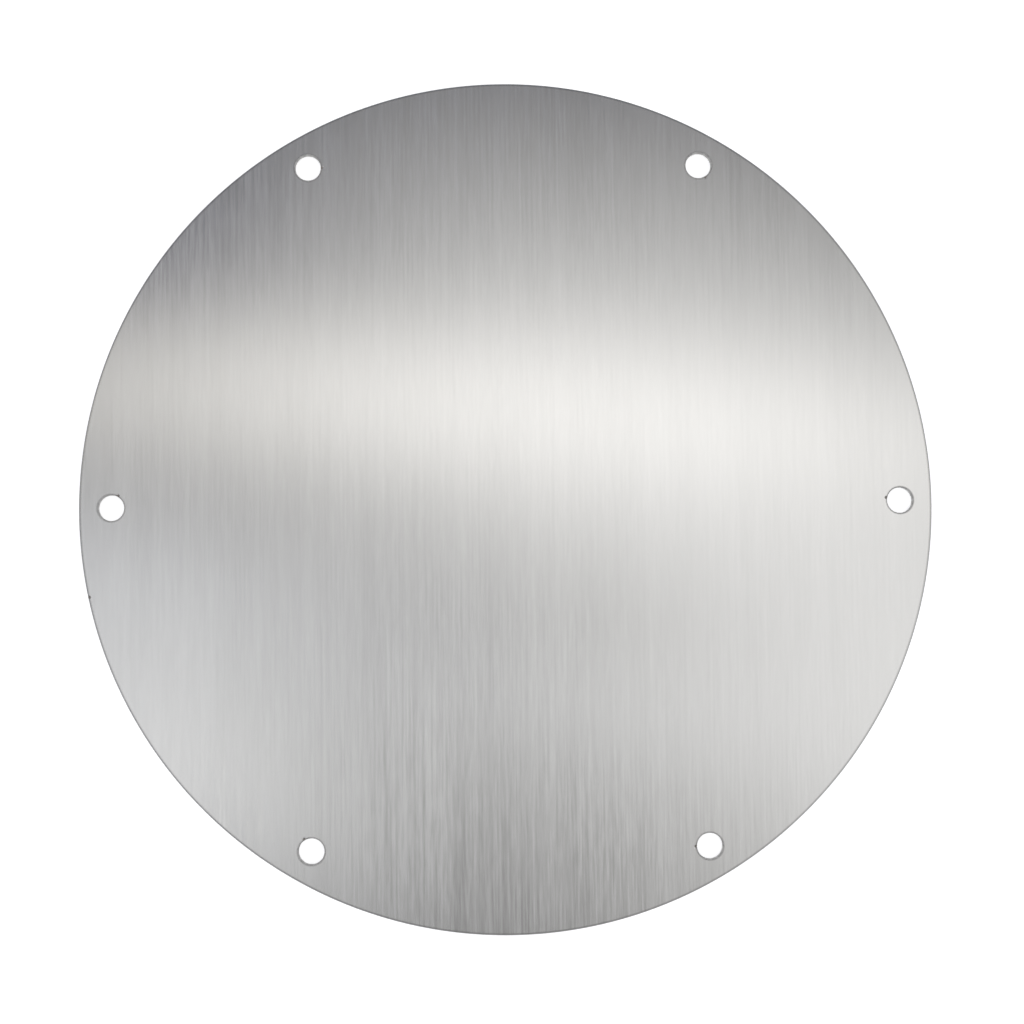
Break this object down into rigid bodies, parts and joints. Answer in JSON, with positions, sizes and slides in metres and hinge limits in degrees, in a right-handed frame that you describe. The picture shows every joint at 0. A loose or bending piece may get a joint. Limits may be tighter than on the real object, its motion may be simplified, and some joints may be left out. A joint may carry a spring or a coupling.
{
  "type": "round cover plate",
  "caption": "Flat round cover plate of brushed sheet metal with a ring of screw holes just inside its rim, for closing a round opening.",
  "frame": {"origin": "centre of the plate's back face, on the surface that the plate lies on", "axes": "+Z out of the brushed front face, +X through the centre of one screw hole, +Y along the brushing lines"},
  "size_m": [0.2, 0.2, 0.0015],
  "materials": {
    "brushed_stainless": "brushed along Y on the front face, plain mill finish on the back, cut edges"
  },
  "bodies": {
    "root": {"cover_plate": "brushed_stainless"}
  },
  "joints": []
}
